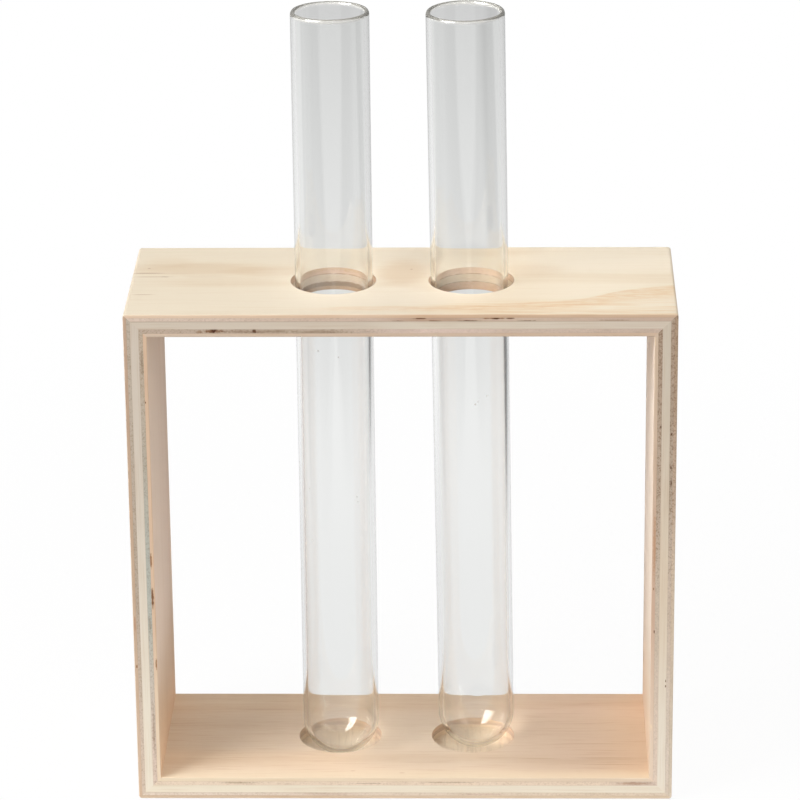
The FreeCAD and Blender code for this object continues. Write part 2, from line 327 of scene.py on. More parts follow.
# Colours of the walls and floors that the drill left, at the left hole and at the right one. They are partly
# the sheets' own colours and partly painted shade, which is deepest in the left hole and on the seats' walls.
BORED = {
    ("top", "outer_veneer"): ((204, 174, 146), (220, 190, 162)),
    ("top", "outer_crossband"): ((208, 178, 152), (222, 193, 165)),
    ("top", "core"): ((206, 188, 165), (216, 196, 168)),
    ("top", "inner_crossband"): ((146, 120, 96), (206, 172, 142)),
    ("top", "inner_veneer"): ((184, 152, 122), (214, 178, 146)),
    ("bottom", "inner_veneer"): ((210, 184, 156), (206, 178, 150)),
    ("bottom", "inner_crossband"): ((198, 174, 148), (192, 166, 142)),
    ("bottom", "core"): ((217, 198, 172), (220, 200, 173)),
}
# Painted shade on the right side of each hole and seat: what the colour there is multiplied by.
BORED_RIGHT_PAINTED_SHADE = {"top": (0.64, 0.61, 0.58), "bottom": (0.97, 0.95, 1.00)}

# Marks on the front edge: x and z of the middle, half width and half height in millimetres, and the factor
# that the colour is multiplied by.
BROWN = (0.50, 0.34, 0.22)
UMBER = (0.30, 0.19, 0.12)
GREY = (0.74, 0.70, 0.66)
FRONT_MARKS = {
    ("top", "inner_crossband"): (
        (-47.0, 130.6, 3.2, 0.60, BROWN), (-47.0, 130.7, 1.0, 0.70, UMBER),
        (-50.6, 130.4, 0.9, 0.60, (0.72, 0.62, 0.52)), (-36.8, 130.6, 0.6, 0.80, UMBER),
        (-37.0, 130.5, 14.0, 0.50, GREY), (-20.0, 130.3, 9.0, 0.60, GREY)),
    ("top", "outer_crossband"): (
        (4.9, 133.93, 2.2, 0.24, UMBER), (8.6, 133.27, 2.2, 0.20, BROWN),
        (-0.6, 133.27, 1.8, 0.20, (0.62, 0.52, 0.50)), (17.5, 133.26, 3.8, 0.24, UMBER),
        (24.0, 133.96, 4.8, 0.24, BROWN), (24.2, 133.93, 1.5, 0.34, UMBER),
        (27.4, 133.97, 1.7, 0.28, UMBER), (32.0, 133.25, 3.2, 0.22, (0.50, 0.42, 0.38)),
        (54.0, 133.4, 5.0, 0.25, GREY)),
    ("left", "inner_veneer"): (
        (-64.8, 67.7, 0.34, 2.8, BROWN), (-64.7, 57.3, 0.42, 3.8, UMBER), (-64.3, 38.6, 0.30, 2.0, BROWN),
        (-64.9, 111.4, 0.22, 0.5, UMBER)),
    ("left", "outer_veneer"): ((-69.5, 50.0, 0.3, 3.0, (0.86, 0.70, 0.62)), (-69.4, 38.0, 0.3, 0.6, BROWN)),
    ("left", "inner_crossband"): (
        (-65.6, 50.0, 0.45, 3.0, GREY), (-65.5, 20.0, 0.45, 9.0, GREY), (-65.4, 122.0, 0.5, 5.0, GREY)),
    ("right", "inner_veneer"): (
        (64.7, 72.0, 0.45, 12.0, (0.88, 0.74, 0.64)), (64.9, 48.0, 0.25, 0.6, UMBER),
        (64.6, 60.0, 0.20, 0.5, BROWN), (64.3, 127.8, 0.22, 1.8, (1.14, 1.14, 1.08)),
        (64.4, 20.8, 0.30, 1.2, (1.10, 1.12, 1.02))),
    ("right", "inner_crossband"): ((65.9, 104.6, 0.25, 0.6, UMBER),),
    ("right", "core"): ((68.0, 34.0, 0.20, 0.55, UMBER), (68.0, 32.4, 0.25, 0.5, UMBER)),
    ("right", "outer_crossband"): (
        (68.7, 102.7, 0.32, 0.55, UMBER), (68.6, 93.5, 0.28, 0.55, UMBER), (68.7, 89.4, 0.22, 1.5, UMBER)),
    ("bottom", "inner_crossband"): (
        (60.0, 4.5, 5.5, 0.55, (0.80, 0.70, 0.64)), (-44.0, 4.6, 6.0, 0.30, GREY),
        (12.0, 4.7, 9.0, 0.25, GREY), (-10.0, 4.4, 6.0, 0.20, GREY)),
    ("bottom", "outer_crossband"): (
        (-20.0, 1.4, 12.0, 0.3, (0.90, 0.84, 0.84)), (20.0, 1.3, 8.0, 0.3, (0.90, 0.84, 0.84))),
}

# Where one colour gives way to the other, in millimetres: from the boards' front and back edges, from the
# holes' walls, from a hole's axis to its right side, where the painted shade sets in, and along y behind the
# front edge.
SAWN_FADE = (-0.18, -0.05)
BORED_FADE = (0.10, 0.02)
HOLE_RIGHT_SHADE_FADE = (6.5, 10.0)
FRONT_FADE = (-25.0, -26.0)

# Where along a board the pores grow coarse, in millimetres, and how porous each sheet is, from 0 to 1.
COARSE_ENDS = {"right": (40, 85), "top": (0, -15)}
POROUS = {
    ("right", "inner_crossband"): 1.0,
    ("right", "outer_crossband"): 1.0,
    ("right", "outer_veneer"): 0.9,
    ("top", "inner_crossband"): 0.7,
    ("left", "inner_crossband"): 0.55,
    ("left", "outer_crossband"): 0.55,
}
CROSSBAND_POROUS = 0.35

# What the wood's colour is multiplied by, for red, green and blue, on the faces, on the edges and where the
# drill went.
SOFT_TAN = (0.86, 0.78, 0.70)
FACE_BAND = (0.90, 0.84, 0.76)
FACE_FIBRE = (0.91, 0.85, 0.77)
END_GRAIN_PATCH = (0.86, 0.83, 0.78)
END_GRAIN_PORE = (0.58, 0.48, 0.39)
END_GRAIN_GLEAM = (1.14, 1.12, 1.08)
LONG_GRAIN_STREAK = (0.90, 0.84, 0.77)
LONG_GRAIN_PATCH = (0.93, 0.88, 0.84)
SHEET_LINE = (0.74, 0.64, 0.54)
CORE_GLUE = (0.78, 0.72, 0.66)
HOLE_GLUE = (0.56, 0.44, 0.36)
SEAT_STREAK = (0.88, 0.86, 0.83)
SEAT_GLEAM = (1.06, 1.05, 1.03)


def sheet_depths(board, sheet):
    """Nearest and farthest depth of a sheet under its board's outer face, in millimetres."""
    through_axis, outer, inward = BOARDS[board][1:]
    axis = "xyz".index(through_axis)
    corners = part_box("%s_board_%s" % (board, sheet))
    return sorted((corner[axis] - outer) * inward / MM for corner in corners)


def board_places(graph, board):
    """All three axes, then along the board, across it from front to back, and in from its outer face, each in
    millimetres."""
    along_axis, through_axis, outer, inward = BOARDS[board]
    scaled = graph.add("VectorMath", operation="SCALE")
    graph.feed(scaled.inputs["Vector"], graph.object_place())
    graph.feed(scaled.inputs["Scale"], 1 / MM)
    axes = dict(zip("xyz", graph.split(scaled.outputs["Vector"])))
    depth = graph.multiply(graph.subtract(axes[through_axis], outer / MM), inward)
    return axes, axes[along_axis], axes["y"], depth


def sawn_share(graph, across):
    """1 on the sawn edges at the front and the back, and 0 on the faces."""
    start, end = (FRAME_HIGH.y / MM + step for step in SAWN_FADE)
    return graph.rise(graph.math("ABSOLUTE", across), start, end)


def bored_share(graph, along, across):
    """1 inside the holes and the seats, and 0 elsewhere."""
    offset = graph.subtract(graph.math("ABSOLUTE", along), HOLE_PITCH / 2 / MM)
    start, end = (HOLE_RADIUS / MM + step for step in BORED_FADE)
    return graph.rise(graph.length(graph.place(offset, across, 0.0)), start, end)


def bored_colour(graph, board, sheet, along, across, depth):
    """What the drill left: the sheets' edges, with a dark glue line in the holes, and streaked floors in the
    seats. Its colours also hold painted shade, with more of it on the right side of each hole and seat."""
    left, right = BORED[(board, sheet)]
    at_right_hole = graph.rise(along, -2, 2)
    colour = graph.mix(at_right_hole, linear(*left), linear(*right))
    pitch = HOLE_PITCH / MM
    from_axis = graph.math("ADD", along, graph.line(at_right_hole, -pitch, pitch / 2))
    # Painted shade on the right side of the hole.
    colour = graph.stain(colour, graph.rise(from_axis, *HOLE_RIGHT_SHADE_FADE), BORED_RIGHT_PAINTED_SHADE[board])
    ragged = graph.noise(((along, 0.9), (across, 0.9), (depth, 2.4)))
    colour = graph.stain(colour, graph.rise(ragged, 0.48, 0.72), SOFT_TAN, strength=0.6)
    if (board, sheet) == ("bottom", "core"):
        streaks = graph.noise(((along, 1.5), (across, 0.10), 3.0))
        colour = graph.stain(colour, graph.rise(streaks, 0.50, 0.66), SEAT_STREAK)
        return graph.stain(colour, graph.rise(streaks, 0.42, 0.36), SEAT_GLEAM)
    if board == "top" and sheet in ("outer_crossband", "core"):
        glue = sheet_depths(board, sheet)[1]
        line = graph.zone((depth, glue - 0.30, glue - 0.12), (ragged, 0.36, 0.52))
        colour = graph.stain(colour, line, HOLE_GLUE, strength=0.9)
    return colour


def edge_colour(graph, board, sheet, axes, along, across, depth, seed):
    """Sawn and sanded edge: long grain on the veneers and the core, and porous end grain on the crossbands.
    The second value is how deep the pores are."""
    colour = graph.ramp(along, EDGES[(board, sheet)])
    patches = graph.noise(((along, 0.09), seed, (depth, 0.5)))
    porous = POROUS.get((board, sheet), CROSSBAND_POROUS if "crossband" in sheet else 0.0)
    if porous:
        grit = graph.noise(((along, 2.1), (across, 0.4), (depth, 2.6)), roughness=0.70)
        pores = graph.multiply(graph.rise(grit, 0.49, 0.64), porous)
        # A quarter of the pores' depth stays where they aren't coarse.
        if board in COARSE_ENDS:
            coarse = graph.rise(along, *COARSE_ENDS[board])
            pores = graph.multiply(pores, graph.line(coarse, 0.75, 0.25))
        colour = graph.stain(colour, graph.rise(patches, 0.46, 0.66), END_GRAIN_PATCH, strength=0.45)
        colour = graph.stain(colour, pores, END_GRAIN_PORE, strength=0.85)
        colour = graph.stain(colour, graph.rise(grit, 0.46, 0.34), END_GRAIN_GLEAM, strength=0.6 * porous)
    else:
        streak = graph.noise(((along, 0.06), (across, 0.06), (depth, 3.2)))
        pores = graph.multiply(graph.rise(streak, 0.48, 0.70), 0.5)
        colour = graph.stain(colour, pores, LONG_GRAIN_STREAK)
        colour = graph.stain(colour, graph.rise(patches, 0.48, 0.70), LONG_GRAIN_PATCH, strength=0.30)
    low, high = sheet_depths(board, sheet)
    if sheet != "inner_veneer":
        colour = graph.stain(colour, graph.rise(depth, high - 0.16, high - 0.02), SHEET_LINE, strength=0.40)
    if (board, sheet) == ("top", "core"):
        colour = graph.stain(colour, graph.rise(depth, low + 0.30, low + 0.12), CORE_GLUE, strength=0.75)
    if (board, sheet) in FRONT_MARKS:
        front = graph.rise(across, *FRONT_FADE)
        frayed = graph.noise(((axes["x"], 1.1), 4.0, (axes["z"], 1.1)), roughness=0.6)
        for place_x, place_z, half_x, half_z, factor in FRONT_MARKS[(board, sheet)]:
            mark = graph.blot(axes["x"], axes["z"], (place_x, place_z), (half_x, half_z), frayed, fray=1.5)
            colour = graph.stain(colour, graph.multiply(mark, front), factor)
    return colour, pores


def face_colour(graph, board, sheet, along, across, seed):
    """Pale rotary-cut veneer: fine fibres, soft bands that run along the board, and a figure where the photo
    shows one."""
    waver = graph.noise(((along, 0.018), (across, 0.03), seed), detail=1.0)
    grain = graph.line(waver, 9.0, across)
    bands = graph.noise(((along, 0.006), (grain, 0.16), seed), detail=4.0)
    fibres = graph.noise(((along, 0.05), (across, 2.2), seed), roughness=0.6)
    flecks = graph.noise(((along, 0.35), (across, 5.5), seed), detail=2.0)
    colour = linear(*FACES[(board, sheet)])
    colour = graph.stain(colour, graph.rise(bands, 0.46, 0.72), FACE_BAND, strength=0.55)
    colour = graph.stain(colour, graph.rise(fibres, 0.46, 0.76), FACE_FIBRE, strength=0.30)
    colour = graph.stain(colour, graph.rise(flecks, 0.62, 0.80), SOFT_TAN, strength=0.30)
    ragged = graph.noise(((along, 0.12), (across, 1.4), seed))
    if (board, sheet) == ("top", "outer_veneer"):
        return top_figure(graph, colour, along, across, ragged)
    if (board, sheet) == ("bottom", "inner_veneer"):
        return bottom_figure(graph, colour, along, across, ragged)
    if sheet == "inner_veneer" and board in SIDE_PAINTED_TONES:
        return side_figure(graph, board, colour, along, across)
    return colour


# The figure of the top face, in millimetres. Tones along x multiply the face's colour; their rise toward the
# right end is painted light where the tubes' shadows fall. The dark summer wood lies in front of a line,
# reaches some way forward and grows stronger to the right.
TOP_TONES = (
    (-62, (243, 243, 242)), (-20, (240, 240, 240)), (0, (237, 237, 238)), (20, (245, 242, 238)),
    (50, (255, 255, 255)))
SUMMER_LINE = ((-70, -27), (-14.6, -20.6), (10, -19.6), (30, -17.8), (43, -15.5), (56, -8.7), (70, -3.9))
SUMMER_REACH = ((-70, 1.0), (-20, 3.0), (15, 5.0), (40, 7.0), (70, 11.0))
SUMMER_STRENGTH = ((-70, 0.0), (-25, 0.15), (-10, 0.75), (15, 0.8), (40, 0.95), (70, 1.0))
# Soft tan areas and small dark checks: x and y of the middle, half sizes, and strength from 0 to 1.
TAN_AREAS = (
    (-52, 9, 26, 7.0, 0.75), (-46, -1, 24, 6, 0.35), (-34, 7, 16, 6, 0.45), (-61, 14, 9, 6, 0.30),
    (0, 6, 9, 14, 0.85), (6, -6.5, 7, 2.5, 0.25), (33, 8, 12, 7, 0.35), (24, 22, 14, 4, 0.30))
TAN = (0.90, 0.82, 0.74)
CHECKS = (
    (-66.2, 5.8, 5.4, 0.30, 0.95), (-64.0, 2.9, 8.0, 0.26, 0.75), (-61.4, 2.9, 1.4, 0.30, 0.80),
    (-66.0, -11.0, 3.8, 0.28, 0.60), (-59, 5.9, 7, 0.22, 0.25), (-50, 2.8, 9, 0.22, 0.22),
    (-66.0, 9.6, 0.5, 0.4, 0.5), (2.2, 8.6, 0.5, 0.5, 0.5))
CHECK_BROWN = (0.55, 0.38, 0.26)
# Painted light at the back right, which lifts the face where the tubes' shadows fall: its middle, half sizes
# and factor. Then the factors of the summer wood and of the streaks along the front edge.
PAINTED_LIGHT_MIDDLE = (50, 16)
PAINTED_LIGHT_REACH = (34, 14)
PAINTED_LIGHT_LIFT = (1.05, 1.06, 1.08)
SUMMER_BROWN = (0.93, 0.81, 0.68)
FRONT_STREAK = (0.95, 0.87, 0.77)


def marked(graph, colour, x, y, marks, ragged, fray, factor):
    """The colour with frayed marks, each with its middle, half sizes and strength."""
    for place_x, place_y, half_x, half_y, strength in marks:
        mark = graph.blot(x, y, (place_x, place_y), (half_x, half_y), ragged, fray)
        colour = graph.stain(colour, mark, factor, strength)
    return colour


def top_figure(graph, colour, x, y, ragged):
    """The top face: tan areas at the back left, painted light at the back right and toward the right end,
    summer wood at the front right, streaks along the front edge and checks at the left end."""
    # The tones rise toward the right end as painted light.
    colour = graph.tint(colour, graph.ramp(x, TOP_TONES))
    colour = marked(graph, colour, x, y, TAN_AREAS, ragged, fray=0.5, factor=TAN)
    # Painted light at the back right, where the tubes' shadows fall.
    colour = graph.stain(colour, graph.blot(x, y, PAINTED_LIGHT_MIDDLE, PAINTED_LIGHT_REACH, ragged, fray=0.3), PAINTED_LIGHT_LIFT)

    # Millimetres in front of the summer wood's line, which is ragged.
    below = graph.subtract(graph.follow(x, SUMMER_LINE), y)
    below = graph.line(graph.subtract(ragged, 0.5), 1.6, below)
    reached = graph.math("DIVIDE", below, graph.follow(x, SUMMER_REACH))
    sweep = graph.zone((below, -0.5, 0.7), (reached, 1.25, 0.5))
    mottle = graph.noise(((x, 0.22), (y, 0.9), 23.0))
    sweep = graph.multiply(sweep, graph.line(graph.rise(mottle, 0.60, 0.42), 0.50, 0.50))
    colour = graph.stain(colour, graph.multiply(sweep, graph.follow(x, SUMMER_STRENGTH)), SUMMER_BROWN)

    streaks = graph.noise(((x, 0.05), (y, 1.3), 71.0), detail=2.0)
    front = graph.zone((y, -14, -20), (x, -5, 25), (streaks, 0.44, 0.62))
    colour = graph.stain(colour, front, FRONT_STREAK)
    return marked(graph, colour, x, y, CHECKS, ragged, fray=0.5, factor=CHECK_BROWN)


# The figure of the bottom board's face, in millimetres: tones along x, and grain lines, each with the x and y
# of its middle, its half sizes and its strength.
BOTTOM_TONES = (
    (-62, (255, 255, 255)), (-20, (250, 246, 243)), (12, (238, 235, 233)), (46, (235, 227, 223)),
    (62, (238, 226, 216)))
GRAIN_HALF = 0.35
BOTTOM_LINES = (
    (-38, 16.2, 10, GRAIN_HALF, 0.40), (-56, 7.6, 7, GRAIN_HALF, 0.18), (46, 7.0, 10, GRAIN_HALF, 0.22),
    (50, -5.5, 14, GRAIN_HALF, 0.45), (53, -14.2, 11, GRAIN_HALF, 0.55), (55, -18.3, 10, GRAIN_HALF, 0.50),
    (35, -14.6, 7, GRAIN_HALF, 0.35), (3, 6, 16, GRAIN_HALF, 0.15), (-13.7, -22.2, 1.0, GRAIN_HALF, 0.5),
    (-0.8, -23.4, 1.0, GRAIN_HALF, 0.5), (44, 2.4, 9, GRAIN_HALF, 0.25), (40, 13.5, 12, GRAIN_HALF, 0.18),
    (-27, -12.0, 6, GRAIN_HALF, 0.30))
GRAIN_BROWN = (0.72, 0.58, 0.48)
CREAM = (246, 228, 198)
# What its areas are multiplied by: painted shade in the middle behind the front strip, streaks, the right
# tube's painted shadow at the right, and painted light behind that shadow.
BOTTOM_PAINTED_SHADE = (0.90, 0.905, 0.91)
BOTTOM_STREAK = (0.93, 0.89, 0.85)
BOTTOM_PAINTED_TUBE_SHADOW = (0.93, 0.935, 0.945)
BOTTOM_PAINTED_LIGHT = (1.06, 1.07, 1.10)


def bottom_figure(graph, colour, x, y, ragged):
    """The bottom board's face: painted shade in the middle, a painted shadow of the right tube at the right
    with painted light behind it, and cream along the front edge."""
    front_end = graph.blend(graph.rise(x, -30, 0), graph.rise(y, -14, -6), graph.rise(y, -23, -15))
    middle = graph.multiply(graph.rise(y, 20, 6), front_end)
    # Painted shade in the middle of the board, behind its front strip.
    colour = graph.stain(colour, middle, BOTTOM_PAINTED_SHADE)
    streaks = graph.noise(((x, 0.07), (y, 1.1), 9.0), detail=4.0, roughness=0.6)
    colour = graph.stain(colour, graph.rise(streaks, 0.50, 0.70), BOTTOM_STREAK)
    # Painted shadow of the right tube, at the right.
    colour = graph.stain(colour, graph.zone((x, 18, 40), (y, 10, -2)), BOTTOM_PAINTED_TUBE_SHADOW)
    # Painted light behind the right tube's painted shadow.
    colour = graph.stain(colour, graph.zone((x, 18, 36), (y, 6, 16)), BOTTOM_PAINTED_LIGHT)
    cream = graph.multiply(graph.rise(y, -20, -25.5), 0.6)
    colour = graph.mix(cream, graph.tint(colour, graph.ramp(x, BOTTOM_TONES)), linear(*CREAM))
    return marked(graph, colour, x, y, BOTTOM_LINES, ragged, fray=0.6, factor=GRAIN_BROWN)


# Tones up the side boards' inner faces, in millimetres, which are painted light and shade: darker low and
# lighter high on the right board. Then what the back and the low end are multiplied by; the darker, warmer
# low end is painted shade.
SIDE_BACK = (1.0, 0.97, 0.97)
SIDE_LOW_PAINTED_SHADE = (1.0, 0.91, 0.80)
SIDE_PAINTED_TONES = {
    "left": ((8, (250, 244, 235)), (22, (234, 228, 218)), (50, (253, 252, 251)), (125, (248, 249, 249))),
    "right": ((8, (228, 226, 224)), (30, (232, 230, 227)), (66, (243, 243, 243)), (115, (255, 255, 255))),
}


def side_figure(graph, board, colour, z, y):
    """The side boards' inner faces are pinker at the back, warmer and darker low down as painted shade, and
    toned up the face with painted light and shade.
    """
    colour = graph.stain(colour, graph.rise(y, -12, 16), SIDE_BACK, strength=0.6)
    # Painted shade: darker and warmer low down.
    colour = graph.stain(colour, graph.rise(z, 40, 10), SIDE_LOW_PAINTED_SHADE, strength=0.9)
    # Painted light and shade up the face.
    return graph.tint(colour, graph.ramp(z, SIDE_PAINTED_TONES[board]))


# The wood's faint relief and shine, and how far apart the boards and the sheets lie in the noise, so that
# each has its own grain.
PORE_DEPTH = 0.8
BUMP_STRENGTH = 0.35
BUMP_HEIGHT = 0.06 * MM
WOOD_SHINE = 0.25
WOOD_ROUGHNESS = 0.50
FIBRE_ROUGHNESS = 0.25
BOARD_STEP = 13.7
SHEET_STEP = 5.3


def wood(board, sheet):
    """Material of one sheet of one board: its open faces, and its sawn edges at the front, the back and the
    holes."""
    material = bpy.data.materials.new("wood_%s_%s" % (board, sheet))
    graph = Graph(material)
    axes, along, across, depth = board_places(graph, board)
    seed = BOARD_STEP * (1 + list(BOARDS).index(board)) + SHEET_STEP * SHEETS.index(sheet)
    colour, pores = edge_colour(graph, board, sheet, axes, along, across, depth, seed)
    if (board, sheet) in FACES:
        face = face_colour(graph, board, sheet, along, across, seed)
        colour = graph.mix(sawn_share(graph, across), face, colour)
    if (board, sheet) in BORED:
        bored = bored_colour(graph, board, sheet, along, across, depth)
        colour = graph.mix(bored_share(graph, along, across), colour, bored)
    fibre = graph.noise(((along, 0.35), (across, 5.0), (depth, 5.0)))
    height = graph.subtract(fibre, graph.multiply(pores, PORE_DEPTH))
    sockets = {"Specular IOR Level": WOOD_SHINE, "Normal": graph.bump(height, BUMP_STRENGTH, BUMP_HEIGHT)}
    roughness = graph.line(fibre, FIBRE_ROUGHNESS, WOOD_ROUGHNESS)
    graph.show(graph.principled(colour, roughness, sockets))
    return material


def finish_boards():
    """Each packed sheet gets its own wood."""
    for board in BOARDS:
        for sheet in SHEETS:
            node = frame["nodes"]["%s_board_%s" % (board, sheet)]
            node.data.materials.clear()
            node.data.materials.append(wood(board, sheet))


# The glass: its own tint, the shade that it throws, the colour of its dull places, how dull these are, and
# how far below the rim's top the dullness starts and is full.
GLASS_TINT = (0.985, 0.99, 0.985, 1.0)
GLASS_SHADE = (0.88, 0.875, 0.865, 1.0)
GLASS_DULL = (0.72, 0.70, 0.64, 1.0)
GLASS_IOR = 1.5
RIM_DULLNESS = 0.35
RIM_FADE = (1.3 * MM, 0.8 * MM)
SPECK_DULLNESS = 0.60
# Specks in the outer skin of the glass: x, y, z and radius in millimetres.
GLASS_SPECKS = (
    (-21.55, -10.12, 119.35, 0.32), (-16.28, -10.89, 117.85, 0.28), (-24.46, -8.75, 80.64, 0.28),
    (-12.07, -9.99, 78.89, 0.28), (-11.84, -9.86, 77.43, 0.24), (-24.02, -9.36, 66.53, 0.30),
    (21.77, -8.25, 106.25, 0.28), (18.75, -9.10, 104.2, 0.34), (19.4, -8.95, 104.9, 0.28))


def glass():
    """Clear thin glass with specks and a fired rim that is a little dull. Rays from lamps go straight through
    it, so that the wood behind it isn't left in a hard shade."""
    material = bpy.data.materials.new("clear_glass")
    graph = Graph(material)
    place = graph.object_place()
    height = graph.split(place)[2]
    start, end = (RIM_HEIGHT - step for step in RIM_FADE)
    dullness = graph.multiply(graph.rise(height, start, end), RIM_DULLNESS)
    for x, y, z, radius in GLASS_SPECKS:
        middle = (x * MM, y * MM, z * MM)
        apart = graph.run("VectorMath", (place, middle), "Value", operation="DISTANCE")
        speck = graph.rise(apart, radius * MM, 0.5 * radius * MM)
        dullness = graph.math("ADD", dullness, graph.multiply(speck, SPECK_DULLNESS))
    solid = graph.principled(GLASS_TINT, 0.0, {"Transmission Weight": 1.0, "IOR": GLASS_IOR})
    skin = graph.mix_shaders(dullness, solid, graph.coloured("BsdfDiffuse", GLASS_DULL))
    to_lamp = graph.add("LightPath").outputs["Is Shadow Ray"]
    graph.show(graph.mix_shaders(to_lamp, skin, graph.coloured("BsdfTransparent", GLASS_SHADE)))
    return material


# The turned tube: how high the rim is rounded, how far below the rounding the wall's last ring but one lies,
# and the steps of the round bottom, of the wall, of the rim and around the tube.
RIM_ROUNDING = 1.0 * MM
LAST_RING = 0.1 * MM
BOTTOM_STEPS = 24
WALL_STEPS = 30
RIM_STEPS = 10
TURNS = 128


def tube_outline():
    """Half section of a tube: from the middle of its round bottom out and up to the rim, and down inside."""
    quarter = [math.pi / 2 * step / BOTTOM_STEPS for step in range(BOTTOM_STEPS + 1)]
    half_turn = [math.pi * step / RIM_STEPS for step in range(1, RIM_STEPS)]
    inner = TUBE_RADIUS - TUBE_WALL
    lip = TUBE_WALL / 2
    rim_start = TUBE_LENGTH - RIM_ROUNDING
    rise = rim_start - LAST_RING - TUBE_RADIUS
    heights = [TUBE_RADIUS + rise * step / WALL_STEPS for step in range(1, WALL_STEPS + 1)]
    heights.append(rim_start)
    outside = [(TUBE_RADIUS * math.sin(a), TUBE_RADIUS - TUBE_RADIUS * math.cos(a)) for a in quarter]
    outside += [(TUBE_RADIUS, height) for height in heights]
    rim = [(TUBE_RADIUS - lip + lip * math.cos(a), rim_start + RIM_ROUNDING * math.sin(a)) for a in half_turn]
    inside = [(inner, height) for height in reversed(heights)]
    inside += [(inner * math.sin(a), TUBE_RADIUS - inner * math.cos(a)) for a in reversed(quarter)]
    return outside + rim + inside


def turned_mesh(name, outline):
    """A closed outline of radius and height, turned about the upright axis."""
    mesh = bmesh.new()
    angles = [2 * math.pi * k / TURNS for k in range(TURNS)]
    rows = []
    for radius, height in outline:
        if radius == 0:
            rows.append([mesh.verts.new((0, 0, height))])
        else:
            places = [(radius * math.cos(a), radius * math.sin(a), height) for a in angles]
            rows.append([mesh.verts.new(place) for place in places])
    for low, high in zip(rows, rows[1:]):
        for k in range(TURNS):
            below = [low[k % len(low)], low[(k + 1) % len(low)]]
            above = [high[(k + 1) % len(high)], high[k % len(high)]]
            ring = below + above
            corners = [corner for i, corner in enumerate(ring) if corner not in ring[:i]]
            mesh.faces.new(corners)
    bmesh.ops.recalc_face_normals(mesh, faces=mesh.faces)
    data = bpy.data.meshes.new(name)
    mesh.to_mesh(data)
    mesh.free()
    data.shade_smooth()
    return data


def add_object(name, data):
    """A new object of the scene."""
    thing = bpy.data.objects.new(name, data)
    bpy.context.scene.collection.objects.link(thing)
    return thing


def make_tube(side, material):
    """A tube turned on a lathe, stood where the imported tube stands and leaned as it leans."""
    name = "%s_test_tube" % side
    data = turned_mesh(name, tube_outline())
    data.materials.append(material)
    tube = add_object(name, data)

    node = "%s_tube" % side
    joint = [j for j in frame["joints"] if j["child"] == node][0]
    lean = Vector(joint["axis"])
    low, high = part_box(node)
    ball_x = high.x - TUBE_RADIUS if lean.x < 0 else low.x + TUBE_RADIUS
    ball_y = high.y - TUBE_RADIUS if lean.y < 0 else low.y + TUBE_RADIUS
    ball = Vector((ball_x, ball_y, low.z + TUBE_RADIUS))
    turn = Vector((0, 0, 1)).rotation_difference(lean).to_matrix().to_4x4()
    data.transform(Matrix.Translation(ball) @ turn @ Matrix.Translation((0, 0, -TUBE_RADIUS)))
    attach(tube, node)
    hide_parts(node)
    return tube


# The floor: half its side, how far it lies below the part, its brightness to the wood near the object and far
# from it, and its brightness to the camera where it takes a shade.
FLOOR_HALF = 4.0
FLOOR_DROP = 0.05 * MM
FLOOR_NEAR = (0.93, 0.93, 0.93, 1)
FLOOR_FAR = (0.12, 0.12, 0.12, 1)
FLOOR_SHADED = (0.95, 0.95, 0.95, 1.0)
# Distances from the middle. The floor is dark to the wood beyond the first of one pair and bright within the
# second. To the camera its share of plain white grows from the value below to 1 over the other pair.
FLOOR_NEAR_FADE = (0.34, 0.11)
FLOOR_WHITE_FADE = (0.15, 0.40)
FLOOR_WHITE_SHARE = 0.95


def make_floor():
    """A floor that looks white and keeps a light shade of the object. Glass shows a studio table of painted
    light and shade instead.
    """
    data = bpy.data.meshes.new("floor")
    corners = [(x * FLOOR_HALF, y * FLOOR_HALF, 0) for x, y in ((-1, -1), (1, -1), (1, 1), (-1, 1))]
    data.from_pydata(corners, [], [(0, 1, 2, 3)])
    floor = add_object("floor", data)
    floor.location.z = -FLOOR_DROP
    material = bpy.data.materials.new("pale_floor")
    data.materials.append(material)
    graph = Graph(material)
    where = graph.object_place()
    x, y = graph.split(where)[:2]
    from_object = graph.length(where)
    near = graph.rise(from_object, *FLOOR_NEAR_FADE)
    bounce = graph.coloured("BsdfDiffuse", graph.mix(near, FLOOR_FAR, FLOOR_NEAR))
    away = graph.rise(from_object, *FLOOR_WHITE_FADE)
    white_share = graph.line(away, 1.0 - FLOOR_WHITE_SHARE, FLOOR_WHITE_SHARE)
    shaded = graph.coloured("BsdfDiffuse", FLOOR_SHADED)
    paper = graph.mix_shaders(white_share, shaded, graph.glow("Emission", 1.0))
    table = graph.glow("Emission", table_brightness(graph, x, y))
    graph.show(graph.seen_by(camera=paper, glass=table, rest=bounce))


# The studio table, as the glass mirrors and bends it: painted light and shade, which the floor glows with for
# those rays only. Each row of points has y and a brightness, in which white is 1, but LIT_HALF_WIDTH has y
# and half the width of the lit strip.
TABLE_BEHIND = (
    (0.0, 0.82), (0.10, 0.83), (0.22, 0.855), (0.31, 0.80), (0.60, 0.673), (1.20, 0.42), (2.20, 0.02))
TABLE_AHEAD = ((-0.60, 0.62), (-0.36, 0.66), (-0.16, 0.84), (-0.06, 0.95), (0.0, 0.95))
LIT_PAPER = ((-0.60, 1.12), (-0.36, 1.12), (-0.20, 0.98), (-0.06, 0.95), (0.0, 0.95))
LIT_HALF_WIDTH = (
    (-0.55, 0.34), (-0.46, 0.20), (-0.40, 0.04), (-0.37, 0.035), (-0.33, 0.07), (-0.20, 0.11), (-0.12, 0.20))
# The x of the lit strip's middle, and the brightness of the dark zone at the right.
LIT_MIDDLE = 0.02
DARK_ZONE = 0.22
# By what part a field at the back right is darker, and the table at the back brighter left of a slanted line.
FIELD_GAIN = -0.16
LEFT_GAIN = 0.15


